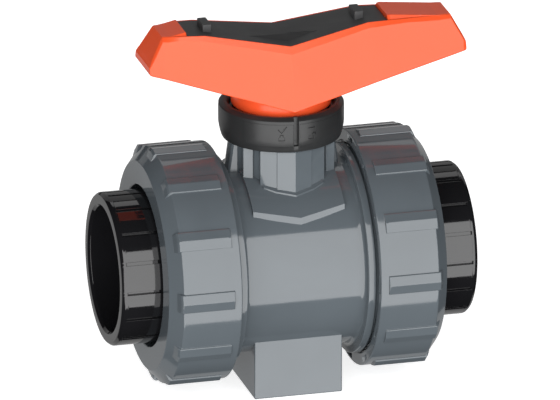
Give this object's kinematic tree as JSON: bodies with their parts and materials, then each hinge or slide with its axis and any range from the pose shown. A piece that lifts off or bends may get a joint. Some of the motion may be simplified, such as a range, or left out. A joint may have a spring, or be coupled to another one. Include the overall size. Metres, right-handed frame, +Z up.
{
  "type": "true-union ball valve",
  "caption": "Quarter-turn true-union ball valve in plastic, with ribbed union nuts, solvent-cement sockets, a lever with a removable clip, a lock ring and a mounting base.",
  "frame": {"origin": "centre of the mounting base's underside, 64 mm below the pipe axis and on the stem axis", "axes": "+X along the pipe towards the end with the threaded seat carrier, +Z up along the stem, -Y is the front"},
  "size_m": [0.1836, 0.1224, 0.1902],
  "materials": {
    "grey_pvc": "smooth moulded grey PVC-U, glossy",
    "ball_pvc": "turned and polished",
    "black_plastic": "moulded black, glossy",
    "black_satin": "satin black",
    "clip_black": "fine-grained dark plastic",
    "orange_plastic": "moulded orange-red, satin gloss",
    "stem_plastic": "turned dark grey",
    "ptfe": "waxy white",
    "rubber": "smooth EPDM",
    "brass": "knurled, turned"
  },
  "bodies": {
    "housing": {"valve_body": "grey_pvc", "union_bush": "grey_pvc", "union_bush_oring": "rubber", "stem_thrust_ring": "ptfe", "seat_left": "ptfe", "seat_right": "ptfe", "seat_backing_oring_left": "rubber", "seat_backing_oring_right": "rubber", "face_oring_left": "rubber", "face_oring_right": "rubber", "base_insert_front": "brass", "base_insert_rear": "brass"},
    "lever": {"handle": "orange_plastic", "stem": "stem_plastic", "ball": "ball_pvc", "stem_oring_lower": "rubber", "stem_oring_upper": "rubber"},
    "clip": {"handle_clip": "clip_black"},
    "ring": {"lock_ring": "black_satin"},
    "left_end": {"union_end_left": "black_plastic"},
    "left_nut": {"union_nut_left": "grey_pvc"},
    "right_end": {"union_end_right": "black_plastic"},
    "right_nut": {"union_nut_right": "grey_pvc"}
  },
  "joints": [
    {"name": "lever_turn", "type": "hinge", "parent": "housing", "child": "lever", "pos_m": [0, 0, 0.064], "axis": [0, 0, -1], "range_deg": [0, 90]},
    {"name": "clip_lift", "type": "slide", "parent": "lever", "child": "clip", "axis": [0, 0, 1], "range_m": [0, 0.025]},
    {"name": "ring_turn", "type": "hinge", "parent": "housing", "child": "ring", "pos_m": [0, 0, 0.136], "axis": [0, 0, 1], "range_deg": [-16, 16]},
    {"name": "left_end_slide", "type": "slide", "parent": "housing", "child": "left_end", "axis": [-1, 0, 0], "range_m": [0, 0.015]},
    {"name": "left_nut_turn", "type": "hinge", "parent": "left_end", "child": "left_nut", "pos_m": [-0.0535, 0, 0.064], "axis": [-1, 0, 0], "range_deg": [0, 1080]},
    {"name": "right_end_slide", "type": "slide", "parent": "housing", "child": "right_end", "axis": [1, 0, 0], "range_m": [0, 0.015]},
    {"name": "right_nut_turn", "type": "hinge", "parent": "right_end", "child": "right_nut", "pos_m": [0.0535, 0, 0.064], "axis": [1, 0, 0], "range_deg": [0, 1080]}
  ],
  "couplings": [
    {"joint": "left_end_slide", "follows": "left_nut_turn", "m_per_rad": 0.00079575},
    {"joint": "right_end_slide", "follows": "right_nut_turn", "m_per_rad": 0.00079575}
  ]
}
